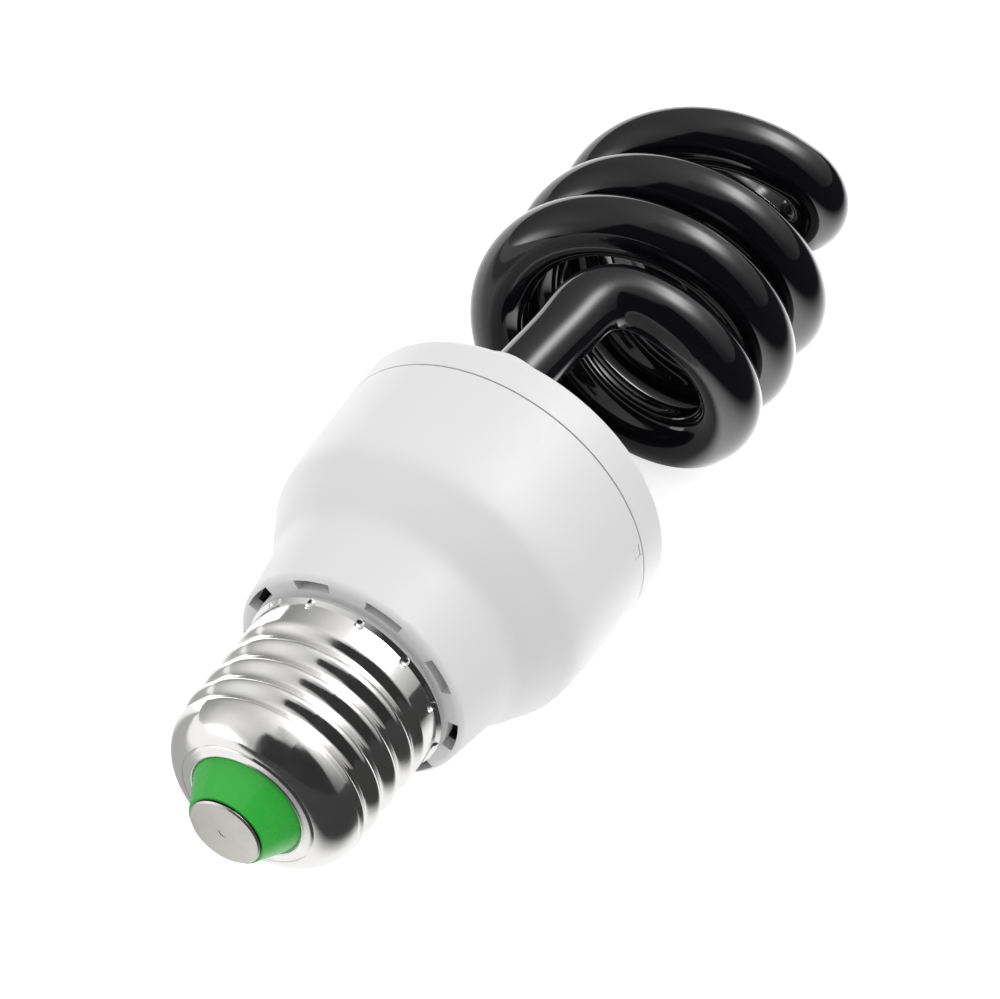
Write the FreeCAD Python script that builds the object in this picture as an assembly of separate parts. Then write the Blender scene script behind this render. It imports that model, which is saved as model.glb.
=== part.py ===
import FreeCAD, Part
import math
import os

# Black light lamp: a dark spiral tube on a plastic ballast housing with a 27 mm Edison screw cap.
# It is modelled upright on the Z axis, contact down, and then laid down as it rests on a table.
# All lengths are in millimetres and all angles in degrees.

# Screw cap
CREST_R = 13.15
ROOT_R = 12.2
THREAD_PITCH = 3.629
THREAD_START_ANGLE = 176.6
SHELL_WALL = 0.45
LIP_R = 7.9
LIP_Z = 4.9
DOME_R = 5.0
THREAD_TOP_Z = 23.4
SKIRT_TOP_Z = 26.7
SKIRT_FLARE = 0.4
FLARE_LENGTH = 0.6
THREAD_FADE = 1.5
SECTIONS_PER_TURN = 12
STAKE_COUNT = 12
STAKE_ANGLE = 17.0
STAKE_BALL_R = 0.8
STAKE_DEPTH = 0.3
STAKE_BELOW_EDGE = 0.8

# Contact and insulator
CONTACT_R = 4.85
CONTACT_THICKNESS = 0.5
CONTACT_EDGE = 0.2
CONTACT_STEM_R = 1.35
CONTACT_STEM_BORE_R = 0.75
SOLDER_DENT = 0.06
NOSE_R = 5.2
CONE_BASE_R = 7.45
INSULATOR_FLANGE_R = 10.9
INSULATOR_TOP_Z = 9.5

# Seats
SEAT_GAP = 0.05
LOOSE_GAP = 0.3

# Ballast housing
COLLAR_WALL = 1.3
COLLAR_END_Z = 13.0
NECK_END_Z = 27.9
NECK_PLATE = 1.6
NECK_END_R = 15.6
NECK_ROUND = 1.0
NECK_TOP_R = 16.8
NECK_TOP_Z = 35.4
WAIST_RISE = 0.65
WAIST_Z = 38.1
BOWL_START_RISE = 1.65
BOWL_START_Z = 39.8
SEAM_R = 22.3
BOWL_TAPER = 0.5
BOWL_TOP_Z = 49.5
BOWL_MID_INSET = 1.3
BOWL_MID_Z = 43.5
SEAM_Z = 60.9
SEAM_GAP = 0.25
HOUSING_WALL = 1.2
VENT_COUNT = 9
VENT_ANGLE = -5.5
VENT_SWEEP = 20.0
VENT_INNER_R = 13.7
VENT_OUTER_R = 15.1
LEDGE_Z = 52.0
LEDGE_WIDTH = 1.2
LEDGE_DEPTH = 1.3

# Tube cover
RIM_FLARE = 0.15
RIM_Z = 66.1
RIM_ROUND = 0.8
PLATFORM_INSET = 4.05
PLATFORM_Z = 68.7
COVER_WALL = 1.5
SPIGOT_WALL = 1.1
CATCH_ANGLE = 53.0
CATCH_COUNT = 2
CATCH_WIDTH = 1.7
CATCH_HEIGHT = 1.0
CATCH_BELOW_SEAM = 0.5
CATCH_RECESS = 0.1
SLEEVE_WALL = 1.0
SLEEVE_LENGTH = 5.0

# Spiral tube
TUBE_R = 4.0
LEG_CIRCLE_R = 14.46
LEG_ANGLE = -28.5
LEG_LEAN = 3.7
TUBE_END_Z = 62.2
BEND_START_Z = 82.5
BEND_LENGTH = 11.3
COIL_R_LOW = 17.35
COIL_R_HIGH = 15.3
TAPER_POWER = 1.5
COIL_END_ANGLE = 554.7
FULL_LEAD_ANGLE = 610.0
LEAD_LOW = 10.75
LEAD_HIGH = 19.15
LEAD_GROWS_FROM = 0.51
SPREAD_BEFORE = 4.75
SPREAD_LENGTH = 39.5
HEEL_RISE = 0.4
HEEL_LENGTH = 5.0
HEEL_AFTER = 3.0
CEMENT_GAP = 0.9
CEMENT_LENGTH = 6.0
PINCH_LENGTH = 4.0
PINCH_WIDTH = 5.6
PINCH_THICKNESS = 2.0
PATH_STEP = 0.5
PATH_POINT_EVERY = 7
SKIN_STEP = 2.0
SKIN_FACES = 12

# Circuit board and the parts on it
BOARD_GAP = 0.5
BOARD_THICKNESS = 1.6
BOARD_HOLE_R = 0.8
HEAVY_SIDE = 155.5
CHOKE_RADIAL = 12.0
CHOKE_WIDTH = 14.0
CHOKE_HEIGHT = 11.5
CHOKE_LEG = 3.2
CHOKE_SETBACK = 8.5
BOBBIN_WALL = 0.7
CAN_R = 5.0
CAN_LENGTH = 18.0
CAN_STANDOFF = 3.2
CAN_SETBACK = 7.0
RING_R = 4.6
RING_BORE_R = 2.4
RING_HEIGHT = 3.2
RING_SETBACK = 12.0
WINDING_THICKNESS = 0.6
WINDING_SWEEP = 34.0
TRANSISTOR_SIZE = (8.0, 2.8, 10.8)
TRANSISTOR_STANDOFF = 1.5
TRANSISTOR_SETBACK = 15.2
DIODE_R = 1.35
DIODE_LENGTH = 5.2
DIODE_SETBACK = 14.6
TRIGGER_SETBACK = 14.0
RESISTOR_R = 1.15
RESISTOR_LENGTH = 6.2
RESISTOR_SPACING = 6.0
FUSE_R = 1.9
FUSE_LENGTH = 9.0
FUSE_SETBACK = 15.0
INDUCTOR_R = 3.2
INDUCTOR_HEIGHT = 7.0
INDUCTOR_SETBACK = 13.5
FILM_SIZE = (8.6, 3.6, 9.0)
FILM_SETBACK = 14.6
PIN_SIDE = 0.9
PIN_HEIGHT = 3.9
PIN_OFFSET = 3.9
LEAD_R = 0.3
LEAD_WIRE_R = 0.6
FILAMENT_WIRE_R = 0.25
FILAMENT_OFFSET = 1.5

# How the lamp lies: the direction, about its own axis, that points straight up
UP_ANGLE = HEAVY_SIDE - 180.0

DOWN_THE_AXIS = FreeCAD.Vector(0, 0, -1)
UP_THE_AXIS = FreeCAD.Vector(0, 0, 1)
AXIS_POINT = FreeCAD.Vector(0, 0, 0)


def vector(x, y, z):
    return FreeCAD.Vector(x, y, z)


def polar(radius, angle, z):
    turn = math.radians(angle)
    return vector(radius * math.cos(turn), radius * math.sin(turn), z)


def smooth(value):
    limited = min(max(value, 0.0), 1.0)
    return limited * limited * (3.0 - 2.0 * limited)


def line(start, end):
    return Part.LineSegment(vector(*start), vector(*end)).toShape()


def arc(start, middle, end):
    return Part.Arc(vector(*start), vector(*middle), vector(*end)).toShape()


def turned(edges):
    """Solid of revolution about Z from the edges of a closed half profile in the XZ plane."""
    face = Part.Face(Part.Wire(edges))
    return face.revolve(AXIS_POINT, UP_THE_AXIS, 360)


def turned_points(points):
    """Solid of revolution about Z from a closed half profile of (radius, z) corners."""
    corners = [(radius, 0, z) for radius, z in points]
    edges = []
    for start, end in zip(corners, corners[1:] + corners[:1]):
        edges.append(line(start, end))
    return turned(edges)


def ring(outer_radius, inner_radius, low_z, high_z):
    profile = [(inner_radius, low_z), (outer_radius, low_z), (outer_radius, high_z), (inner_radius, high_z)]
    return turned_points(profile)


def cylinder(radius, start, end):
    direction = end - start
    return Part.makeCylinder(radius, direction.Length, start, direction)


def block(size, centre, angle):
    """Box of a given size about a centre, its first side pointing along a polar angle."""
    length, width, height = size
    box = Part.makeBox(length, width, height, vector(-length / 2, -width / 2, -height / 2))
    box.rotate(AXIS_POINT, UP_THE_AXIS, angle)
    box.translate(centre)
    return box


def wire_along(points, radius):
    """Round wire through a list of points, with a ball at each bend."""
    solid = cylinder(radius, points[0], points[1])
    for start, end in zip(points[1:-1], points[2:]):
        solid = solid.fuse(Part.makeSphere(radius, start))
        solid = solid.fuse(cylinder(radius, start, end))
    return solid.removeSplitter()


def thread_mean_radius(z, inset):
    """Mean radius of the rolled thread: it starts on the dome and ends on the plain skirt."""
    mean = (CREST_R + ROOT_R) / 2
    rise = smooth((z - (THREAD_TOP_Z - THREAD_FADE)) / THREAD_FADE)
    start = smooth((thread_bottom() + THREAD_FADE - z) / THREAD_FADE)
    return mean + (CREST_R - mean) * rise + (dome_radius(thread_bottom()) - mean) * start - inset


def thread_offset(z):
    """How far the round section sits off the axis: half the thread's depth, fading at both ends."""
    depth = (CREST_R - ROOT_R) / 2
    fade_in = smooth((z - thread_bottom()) / THREAD_FADE)
    fade_out = smooth((THREAD_TOP_Z - z) / THREAD_FADE)
    return depth * fade_in * fade_out


def thread_angle(z):
    """Direction of the crest at a height: the thread is right-handed."""
    return THREAD_START_ANGLE + 360.0 * z / THREAD_PITCH


def thread_radius(angle, z, inset):
    """Radius of the rolled thread in one direction at a height."""
    sway = math.cos(math.radians(angle - thread_angle(z)))
    return thread_mean_radius(z, inset) + thread_offset(z) * sway


def thread_bottom():
    return LIP_Z + DOME_R - THREAD_PITCH / 4


def dome_radius(z):
    """Outer radius of the domed end of the shell at a height."""
    below_centre = LIP_Z + DOME_R - z
    return LIP_R + math.sqrt(DOME_R ** 2 - below_centre ** 2)


def dome_edge(inset, top_z):
    """Arc of the domed shell end, in the XZ plane, set in from the outer face."""
    centre_z = LIP_Z + DOME_R
    radius = DOME_R - inset
    top_angle = math.asin((centre_z - top_z) / radius)
    middle_angle = (math.pi / 2 + top_angle) / 2
    bottom = (LIP_R, 0, centre_z - radius)
    middle = (LIP_R + radius * math.cos(middle_angle), 0, centre_z - radius * math.sin(middle_angle))
    top = (LIP_R + radius * math.cos(top_angle), 0, top_z)
    return arc(bottom, middle, top), bottom, top


def thread_body(inset):
    """Rolled thread: round sections whose centres follow a helix, so the skin waves in and out."""
    low = thread_bottom()
    count = int(round((THREAD_TOP_Z - low) / THREAD_PITCH * SECTIONS_PER_TURN))
    sections = []
    for index in range(count + 1):
        z = low + (THREAD_TOP_Z - low) * index / count
        centre = polar(thread_offset(z), thread_angle(z), z)
        circle = Part.Circle(centre, UP_THE_AXIS, thread_mean_radius(z, inset))
        sections.append(Part.Wire(circle.toShape()))
    return Part.makeLoft(sections, True, False)


def shell_body(inset):
    """Filled shape of the screw shell, from the lip to the skirt, set in from its outer face."""
    dome, bottom, top = dome_edge(inset, thread_bottom())
    dome_profile = [
        line((0, 0, bottom[2]), bottom),
        dome,
        line(top, (0, 0, top[2])),
        line((0, 0, top[2]), (0, 0, bottom[2])),
    ]
    skirt_r = CREST_R - inset
    skirt_profile = [
        (0, THREAD_TOP_Z),
        (skirt_r, THREAD_TOP_Z),
        (skirt_r, SKIRT_TOP_Z - FLARE_LENGTH),
        (skirt_r + SKIRT_FLARE, SKIRT_TOP_Z),
        (0, SKIRT_TOP_Z),
    ]
    return turned(dome_profile).fuse([thread_body(inset), turned_points(skirt_profile)])


def make_screw_shell():
    shell = shell_body(0).cut(shell_body(SHELL_WALL))
    opening = cylinder(CONE_BASE_R + SEAT_GAP, vector(0, 0, 0), vector(0, 0, LIP_Z + DOME_R))
    shell = shell.cut(opening)
    stake_z = SKIRT_TOP_Z - STAKE_BELOW_EDGE
    for index in range(STAKE_COUNT):
        angle = STAKE_ANGLE + 360.0 * index / STAKE_COUNT
        centre = polar(CREST_R + STAKE_BALL_R - STAKE_DEPTH, angle, stake_z)
        shell = shell.cut(Part.makeSphere(STAKE_BALL_R, centre))
    return shell


def make_centre_contact():
    disc = turned_points([
        (CONTACT_STEM_BORE_R, 0),
        (CONTACT_R - CONTACT_EDGE, 0),
        (CONTACT_R, CONTACT_EDGE),
        (CONTACT_R, CONTACT_THICKNESS),
        (CONTACT_STEM_R, CONTACT_THICKNESS),
        (CONTACT_STEM_R, INSULATOR_TOP_Z + CONTACT_THICKNESS),
        (CONTACT_STEM_BORE_R, INSULATOR_TOP_Z + CONTACT_THICKNESS),
    ])
    solder = cylinder(CONTACT_STEM_BORE_R, vector(0, 0, SOLDER_DENT), vector(0, 0, LIP_Z))
    return disc.fuse(solder).removeSplitter()


def make_cap_insulator():
    inset = SHELL_WALL + SEAT_GAP
    seat_top_z = LIP_Z + DOME_R - math.sqrt((DOME_R - inset) ** 2 - (INSULATOR_FLANGE_R - LIP_R) ** 2)
    seat, seat_bottom, seat_top = dome_edge(inset, seat_top_z)
    bore_r = CONTACT_STEM_R + SEAT_GAP
    corners = [
        seat_top,
        (INSULATOR_FLANGE_R, 0, INSULATOR_TOP_Z),
        (bore_r, 0, INSULATOR_TOP_Z),
        (bore_r, 0, CONTACT_THICKNESS),
        (NOSE_R, 0, CONTACT_THICKNESS),
        (CONE_BASE_R, 0, LIP_Z),
        (CONE_BASE_R, 0, seat_bottom[2]),
        seat_bottom,
    ]
    edges = [seat]
    for start, end in zip(corners, corners[1:]):
        edges.append(line(start, end))
    return turned(edges)


def bowl_top_radius():
    return SEAM_R - BOWL_TAPER


def rim_radius():
    return SEAM_R + RIM_FLARE


def bowl_outline(inset):
    """Outer edges of neck and bowl, in the XZ plane, from the neck's end up to the seam."""
    low_z = NECK_END_Z if inset == 0 else NECK_END_Z + NECK_PLATE
    share = (low_z - NECK_END_Z) / (NECK_TOP_Z - NECK_END_Z)
    low_r = NECK_END_R + (NECK_TOP_R - NECK_END_R) * share - inset
    neck_top = (NECK_TOP_R - inset, 0, NECK_TOP_Z)
    waist = (NECK_TOP_R + WAIST_RISE - inset, 0, WAIST_Z)
    bowl_start = (NECK_TOP_R + BOWL_START_RISE - inset, 0, BOWL_START_Z)
    bowl_mid = (bowl_top_radius() - BOWL_MID_INSET - inset, 0, BOWL_MID_Z)
    bowl_top = (bowl_top_radius() - inset, 0, BOWL_TOP_Z)
    seam = (SEAM_R - inset, 0, SEAM_Z)
    sweep = Part.BSplineCurve()
    sweep.interpolate(
        Points=[vector(*point) for point in (neck_top, waist, bowl_start, bowl_mid, bowl_top)],
        InitialTangent=vector(NECK_TOP_R - NECK_END_R, 0, NECK_TOP_Z - NECK_END_Z),
        FinalTangent=vector(BOWL_TAPER, 0, SEAM_Z - BOWL_TOP_Z))
    edges = [
        line((low_r, 0, low_z), neck_top),
        sweep.toShape(),
        line(bowl_top, seam),
        line(seam, (0, 0, SEAM_Z)),
        line((0, 0, SEAM_Z), (0, 0, low_z)),
        line((0, 0, low_z), (low_r, 0, low_z)),
    ]
    return edges


def bowl_radius(z, inset):
    """Radius of the straight upper wall of the bowl at a height."""
    share = (z - BOWL_TOP_Z) / (SEAM_Z - BOWL_TOP_Z)
    return bowl_top_radius() + BOWL_TAPER * share - inset


def vent(angle):
    """Arc-shaped slot through the neck's end."""
    profile = [
        (VENT_INNER_R, NECK_END_Z - 1),
        (VENT_OUTER_R, NECK_END_Z - 1),
        (VENT_OUTER_R, NECK_END_Z + NECK_PLATE + 1),
        (VENT_INNER_R, NECK_END_Z + NECK_PLATE + 1),
    ]
    corners = [vector(radius, 0, z) for radius, z in profile]
    face = Part.Face(Part.makePolygon(corners + corners[:1]))
    slot = face.revolve(AXIS_POINT, UP_THE_AXIS, VENT_SWEEP)
    slot.rotate(AXIS_POINT, UP_THE_AXIS, angle - VENT_SWEEP / 2)
    return slot


def catch_block(angle, clearance):
    """Block of a snap catch, from inside the wall out to just under its face."""
    outer_r = bowl_radius(SEAM_Z, 0) - CATCH_RECESS + clearance * 3
    inner_r = outer_r - HOUSING_WALL * 2 - clearance * 3
    centre_z = SEAM_Z - CATCH_BELOW_SEAM - CATCH_HEIGHT / 2
    size = (outer_r - inner_r, CATCH_WIDTH + 2 * clearance, CATCH_HEIGHT + 2 * clearance)
    return block(size, polar((outer_r + inner_r) / 2, angle, centre_z), angle)


def catch_angles():
    return [CATCH_ANGLE + 360.0 * index / CATCH_COUNT for index in range(CATCH_COUNT)]


def make_ballast_housing():
    outside = turned(bowl_outline(0))
    end_circle = [edge for edge in outside.Edges
                  if edge.BoundBox.ZLength < 0.001 and abs(edge.BoundBox.ZMin - NECK_END_Z) < 0.001]
    outside = outside.makeFillet(NECK_ROUND, end_circle)
    body = outside.cut(turned(bowl_outline(HOUSING_WALL)))
    collar_r = ROOT_R - SHELL_WALL - SEAT_GAP
    seat_r = CREST_R - SHELL_WALL - SEAT_GAP
    collar = ring(collar_r, collar_r - COLLAR_WALL, COLLAR_END_Z, NECK_END_Z + NECK_PLATE)
    step = ring(seat_r, collar_r - COLLAR_WALL, THREAD_TOP_Z + LOOSE_GAP, NECK_END_Z + NECK_PLATE)
    bore = cylinder(collar_r - COLLAR_WALL, vector(0, 0, 0), vector(0, 0, NECK_TOP_Z))
    ledge_r = bowl_radius(LEDGE_Z, HOUSING_WALL)
    ledge = turned_points([
        (ledge_r + HOUSING_WALL / 2, LEDGE_Z),
        (ledge_r - LEDGE_WIDTH, LEDGE_Z),
        (ledge_r - LEDGE_WIDTH, LEDGE_Z - LEDGE_DEPTH / 2),
        (ledge_r + HOUSING_WALL / 2, LEDGE_Z - LEDGE_DEPTH - LEDGE_WIDTH),
    ])
    body = body.fuse([collar, step, ledge]).cut(bore)
    for index in range(VENT_COUNT):
        body = body.cut(vent(VENT_ANGLE + 360.0 * index / VENT_COUNT))
    for angle in catch_angles():
        body = body.cut(catch_block(angle, SEAT_GAP * 2))
    return body.removeSplitter()


def cover_outline(inset):
    """Closed half profile of the cover's cap, set in from its outer face."""
    low_z = SEAM_Z + SEAM_GAP if inset == 0 else SEAM_Z
    low_r = SEAM_R - inset
    rim_r = rim_radius() - inset
    platform_r = rim_radius() - PLATFORM_INSET
    rim_z = RIM_Z - inset
    platform_z = PLATFORM_Z - inset
    edges = [
        line((low_r, 0, low_z), (rim_r, 0, rim_z - RIM_ROUND)),
        arc((rim_r, 0, rim_z - RIM_ROUND), (rim_r - RIM_ROUND * 0.3, 0, rim_z - RIM_ROUND * 0.3),
            (rim_r - RIM_ROUND, 0, rim_z)),
        line((rim_r - RIM_ROUND, 0, rim_z), (platform_r, 0, platform_z)),
        line((platform_r, 0, platform_z), (0, 0, platform_z)),
        line((0, 0, platform_z), (0, 0, low_z)),
        line((0, 0, low_z), (low_r, 0, low_z)),
    ]
    return edges


def leg_centres(z):
    return [polar(LEG_CIRCLE_R, LEG_ANGLE, z), polar(LEG_CIRCLE_R, LEG_ANGLE + 180, z)]


def make_tube_cover():
    cap = turned(cover_outline(0)).cut(turned(cover_outline(COVER_WALL)))
    spigot_r = bowl_radius(LEDGE_Z + BOARD_THICKNESS, HOUSING_WALL) - SEAT_GAP * 2
    spigot_low = LEDGE_Z + BOARD_THICKNESS + SEAT_GAP * 2
    spigot = ring(spigot_r, spigot_r - SPIGOT_WALL, spigot_low, SEAM_Z + SEAM_GAP)
    web = ring(rim_radius() - COVER_WALL / 2, spigot_r - SPIGOT_WALL, SEAM_Z + SEAM_GAP, SEAM_Z + SEAM_GAP + 1)
    cap = cap.fuse([spigot, web])
    hole_r = TUBE_R + CEMENT_GAP
    for centre in leg_centres(PLATFORM_Z - SLEEVE_LENGTH):
        top = vector(centre.x, centre.y, PLATFORM_Z - COVER_WALL / 2)
        cap = cap.fuse(cylinder(hole_r + SLEEVE_WALL, centre, top))
    for centre in leg_centres(TUBE_END_Z):
        top = vector(centre.x, centre.y, PLATFORM_Z + 1)
        cap = cap.cut(cylinder(hole_r, centre, top))
    for angle in catch_angles():
        hook = catch_block(angle, 0)
        cap = cap.fuse(hook)
    return cap.removeSplitter()


def coil_path():
    """Centre line of one strand, from its end in the cover to the middle of the crossing.

    The path is walked in short steps. It climbs straight up the leg, bends over to the coil's
    lead angle, winds round the axis and ends in a half circle that reaches the axis.
    """
    points = []
    z = TUBE_END_Z
    angle = math.radians(LEG_ANGLE)
    travelled = 0.0
    bend_start = BEND_START_Z - TUBE_END_Z
    end_angle = math.radians(COIL_END_ANGLE)
    radius = LEG_CIRCLE_R
    lead = 0.0
    while angle < end_angle:
        points.append(vector(radius * math.cos(angle), radius * math.sin(angle), z))
        bent = smooth((travelled - bend_start) / BEND_LENGTH)
        spread = smooth((travelled - bend_start + SPREAD_BEFORE) / SPREAD_LENGTH)
        share = min(max(angle / math.radians(FULL_LEAD_ANGLE), 0.0), 1.0)
        growth = smooth((share - LEAD_GROWS_FROM) / (1 - LEAD_GROWS_FROM))
        lean = LEG_LEAN * smooth((z - PLATFORM_Z) / TUBE_R)
        lead = LEAD_LOW + (LEAD_HIGH - LEAD_LOW) * growth
        climb = math.radians((90 - lean) * (1 - bent) + lead * bent)
        coil_r = COIL_R_LOW + (COIL_R_HIGH - COIL_R_LOW) * share ** TAPER_POWER
        radius = LEG_CIRCLE_R * (1 - spread) + coil_r * spread
        z += PATH_STEP * math.sin(climb)
        angle += PATH_STEP * math.cos(climb) / radius
        travelled += PATH_STEP
    return points[::PATH_POINT_EVERY] + crossing_path(radius, z, lead)


def crossing_path(radius, z, lead):
    """Half circle from the coil in to the axis, its climb easing off to level."""
    half = radius / 2
    length = math.pi * half
    rise = math.tan(math.radians(lead)) * length
    centre = polar(half, COIL_END_ANGLE, 0)
    count = int(length / (PATH_STEP * PATH_POINT_EVERY))
    points = []
    for index in range(1, count + 1):
        share = index / count
        height = z + rise * (share - share * share / 2)
        points.append(centre + polar(half, COIL_END_ANGLE + 180 * share, height))
    return points


def skin_radius(travelled, length):
    """Radius of the tube along its length: a little fuller at the heel, where each leg bends over."""
    heel = BEND_START_Z - TUBE_END_Z + HEEL_AFTER
    nearest = min(abs(travelled - heel), abs(length - travelled - heel))
    return TUBE_R + HEEL_RISE * math.exp(-(nearest / HEEL_LENGTH) ** 2)


def tube_faces(curve):
    """Round skin along a curve: circles of eight poles each, carried along without twisting."""
    length = curve.length()
    count = int(length / SKIN_STEP)
    first, last = curve.FirstParameter, curve.LastParameter
    values = [first + (last - first) * index / count for index in range(count + 1)]
    rows = [[] for pole in range(8)]
    normal = vector(1, 0, 0)
    for value in values:
        radius = skin_radius(length * (value - first) / (last - first), length)
        tangent = curve.tangent(value)[0]
        normal = (normal - tangent * normal.dot(tangent)).normalize()
        across = tangent.cross(normal)
        centre = curve.value(value)
        for pole in range(8):
            turn = math.radians(45 * pole)
            reach = radius if pole % 2 == 0 else radius * math.sqrt(2)
            rows[pole].append(centre + normal * (reach * math.cos(turn)) + across * (reach * math.sin(turn)))
    tracks = []
    for row in rows:
        track = Part.BSplineCurve()
        track.interpolate(Points=row, Parameters=values)
        tracks.append(track)
    tracks.append(tracks[0])
    surface = Part.BSplineSurface()
    surface.buildFromPolesMultsKnots(
        [list(poles) for poles in zip(*[track.getPoles() for track in tracks])],
        tracks[0].getMultiplicities(), [3, 2, 2, 2, 3],
        tracks[0].getKnots(), [0.0, 1.0, 2.0, 3.0, 4.0],
        False, False, 3, 2,
        [[1.0, math.sqrt(0.5)] * 4 + [1.0] for pole in tracks[0].getPoles()])
    faces = []
    for index in range(SKIN_FACES):
        low = values[count * index // SKIN_FACES]
        high = values[count * (index + 1) // SKIN_FACES]
        piece = surface.copy()
        piece.segment(low, high, 0.0, 4.0)
        faces.append(piece.toShape())
    return faces


def make_spiral_tube():
    """One tube along both strands, with a flat pinched seal at each end."""
    first = coil_path()
    second = [vector(-point.x, -point.y, point.z) for point in first]
    curve = Part.BSplineCurve()
    points = first + second[-2::-1]
    curve.interpolate(Points=points, InitialTangent=UP_THE_AXIS, FinalTangent=DOWN_THE_AXIS)
    faces = tube_faces(curve)
    solids = []
    for end in (points[0], points[-1]):
        rim = Part.Wire(Part.Circle(end, UP_THE_AXIS, TUBE_R).toShape())
        faces.append(Part.Face(rim))
        angle = math.degrees(math.atan2(end.y, end.x))
        centre = vector(end.x, end.y, end.z - PINCH_LENGTH / 2)
        solids.append(block((PINCH_THICKNESS, PINCH_WIDTH, PINCH_LENGTH), centre, angle))
    shell = Part.makeShell(faces)
    shell.sewShape()
    return Part.Solid(Part.Shell(shell.Faces)).fuse(solids)


def make_tube_cement():
    beads = []
    for centre in leg_centres(PLATFORM_Z - CEMENT_LENGTH):
        top = vector(centre.x, centre.y, PLATFORM_Z)
        outer = cylinder(TUBE_R + CEMENT_GAP - SEAT_GAP, centre, top)
        beads.append(outer.cut(cylinder(TUBE_R + SEAT_GAP, centre, top)))
    return Part.makeCompound(beads)


def make_circuit_board():
    board_r = bowl_radius(LEDGE_Z, HOUSING_WALL) - BOARD_GAP
    return ring(board_r, BOARD_HOLE_R, LEDGE_Z, LEDGE_Z + BOARD_THICKNESS)


def make_choke():
    """Inductor under the board: an outer core frame, a bobbin on its middle leg and the winding."""
    top_z = LEDGE_Z
    centre = polar(CHOKE_SETBACK, HEAVY_SIDE, top_z - CHOKE_HEIGHT / 2)
    frame = block((CHOKE_RADIAL * 0.6, CHOKE_WIDTH, CHOKE_HEIGHT), centre, HEAVY_SIDE)
    window_height = CHOKE_HEIGHT - 2 * CHOKE_LEG
    side = (CHOKE_WIDTH - 2 * CHOKE_LEG) / 2
    middle = side
    window = block((CHOKE_RADIAL, CHOKE_WIDTH - 2 * CHOKE_LEG / 1.6, window_height), centre, HEAVY_SIDE)
    leg_size = (CHOKE_RADIAL * 0.6, middle, window_height)
    core = frame.cut(window).fuse(block(leg_size, centre, HEAVY_SIDE)).removeSplitter()
    gap = SEAT_GAP
    inner = (leg_size[0] + 2 * gap, leg_size[1] + 2 * gap, window_height)
    bobbin_outer = (inner[0] + 2 * BOBBIN_WALL, inner[1] + 2 * BOBBIN_WALL, window_height - 2 * gap)
    bobbin = block(bobbin_outer, centre, HEAVY_SIDE).cut(block(inner, centre, HEAVY_SIDE))
    coil_inner = (bobbin_outer[0] + 2 * gap, bobbin_outer[1] + 2 * gap, window_height)
    coil_outer = (CHOKE_RADIAL, CHOKE_WIDTH - 2 * CHOKE_LEG / 1.6 - 2 * gap, window_height - 4 * gap)
    winding = block(coil_outer, centre, HEAVY_SIDE).cut(block(coil_inner, centre, HEAVY_SIDE))
    return core, bobbin, winding


def make_smoothing_capacitor():
    centre = polar(CAN_SETBACK, UP_ANGLE, 0)
    top_z = LEDGE_Z - CAN_STANDOFF
    low = vector(centre.x, centre.y, top_z - CAN_LENGTH)
    high = vector(centre.x, centre.y, top_z)
    solid = cylinder(CAN_R, low, high)
    for side in (-1, 1):
        foot = centre + polar(side * CAN_R / 2, UP_ANGLE + 90, 0)
        start = vector(foot.x, foot.y, top_z)
        solid = solid.fuse(cylinder(LEAD_R, start, vector(foot.x, foot.y, LEDGE_Z)))
    return solid


def make_drive_ring():
    """Ring core lying under the board, with three short windings round it."""
    angle = HEAVY_SIDE - 88
    middle_z = LEDGE_Z - WINDING_THICKNESS - SEAT_GAP - RING_HEIGHT / 2
    low_z = middle_z - RING_HEIGHT / 2
    high_z = middle_z + RING_HEIGHT / 2
    core = ring(RING_R, RING_BORE_R, low_z, high_z)
    reach = WINDING_THICKNESS + SEAT_GAP
    outer = [(RING_BORE_R - reach, low_z - reach), (RING_R + reach, low_z - reach),
             (RING_R + reach, high_z + reach), (RING_BORE_R - reach, high_z + reach)]
    inner = [(RING_BORE_R - SEAT_GAP, low_z - SEAT_GAP), (RING_R + SEAT_GAP, low_z - SEAT_GAP),
             (RING_R + SEAT_GAP, high_z + SEAT_GAP), (RING_BORE_R - SEAT_GAP, high_z + SEAT_GAP)]
    windings = []
    for index in range(3):
        coil = []
        for profile in (outer, inner):
            corners = [vector(radius, 0, z) for radius, z in profile]
            face = Part.Face(Part.makePolygon(corners + corners[:1]))
            coil.append(face.revolve(AXIS_POINT, UP_THE_AXIS, WINDING_SWEEP))
        winding = coil[0].cut(coil[1])
        winding.rotate(AXIS_POINT, UP_THE_AXIS, 120.0 * index)
        windings.append(winding)
    winding = Part.makeCompound(windings)
    place = polar(RING_SETBACK, angle, 0)
    core.translate(place)
    winding.translate(place)
    return core, winding


def make_transistor(angle):
    """Flat-backed package hanging from the board on three leads."""
    width, thickness, height = TRANSISTOR_SIZE
    centre_z = LEDGE_Z - TRANSISTOR_STANDOFF - height / 2
    centre = polar(TRANSISTOR_SETBACK, angle, centre_z)
    body = block((thickness, width, height), centre, angle)
    tab_hole = polar(TRANSISTOR_SETBACK, angle, centre_z - height / 4)
    direction = polar(thickness, angle, 0)
    body = body.cut(cylinder(thickness / 2, tab_hole - direction, tab_hole + direction))
    for side in (-1, 0, 1):
        foot = centre + polar(side * width / 3.5, angle + 90, 0)
        start = vector(foot.x, foot.y, centre_z + height / 2)
        body = body.fuse(cylinder(LEAD_R, start, vector(foot.x, foot.y, LEDGE_Z)))
    return body


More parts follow.
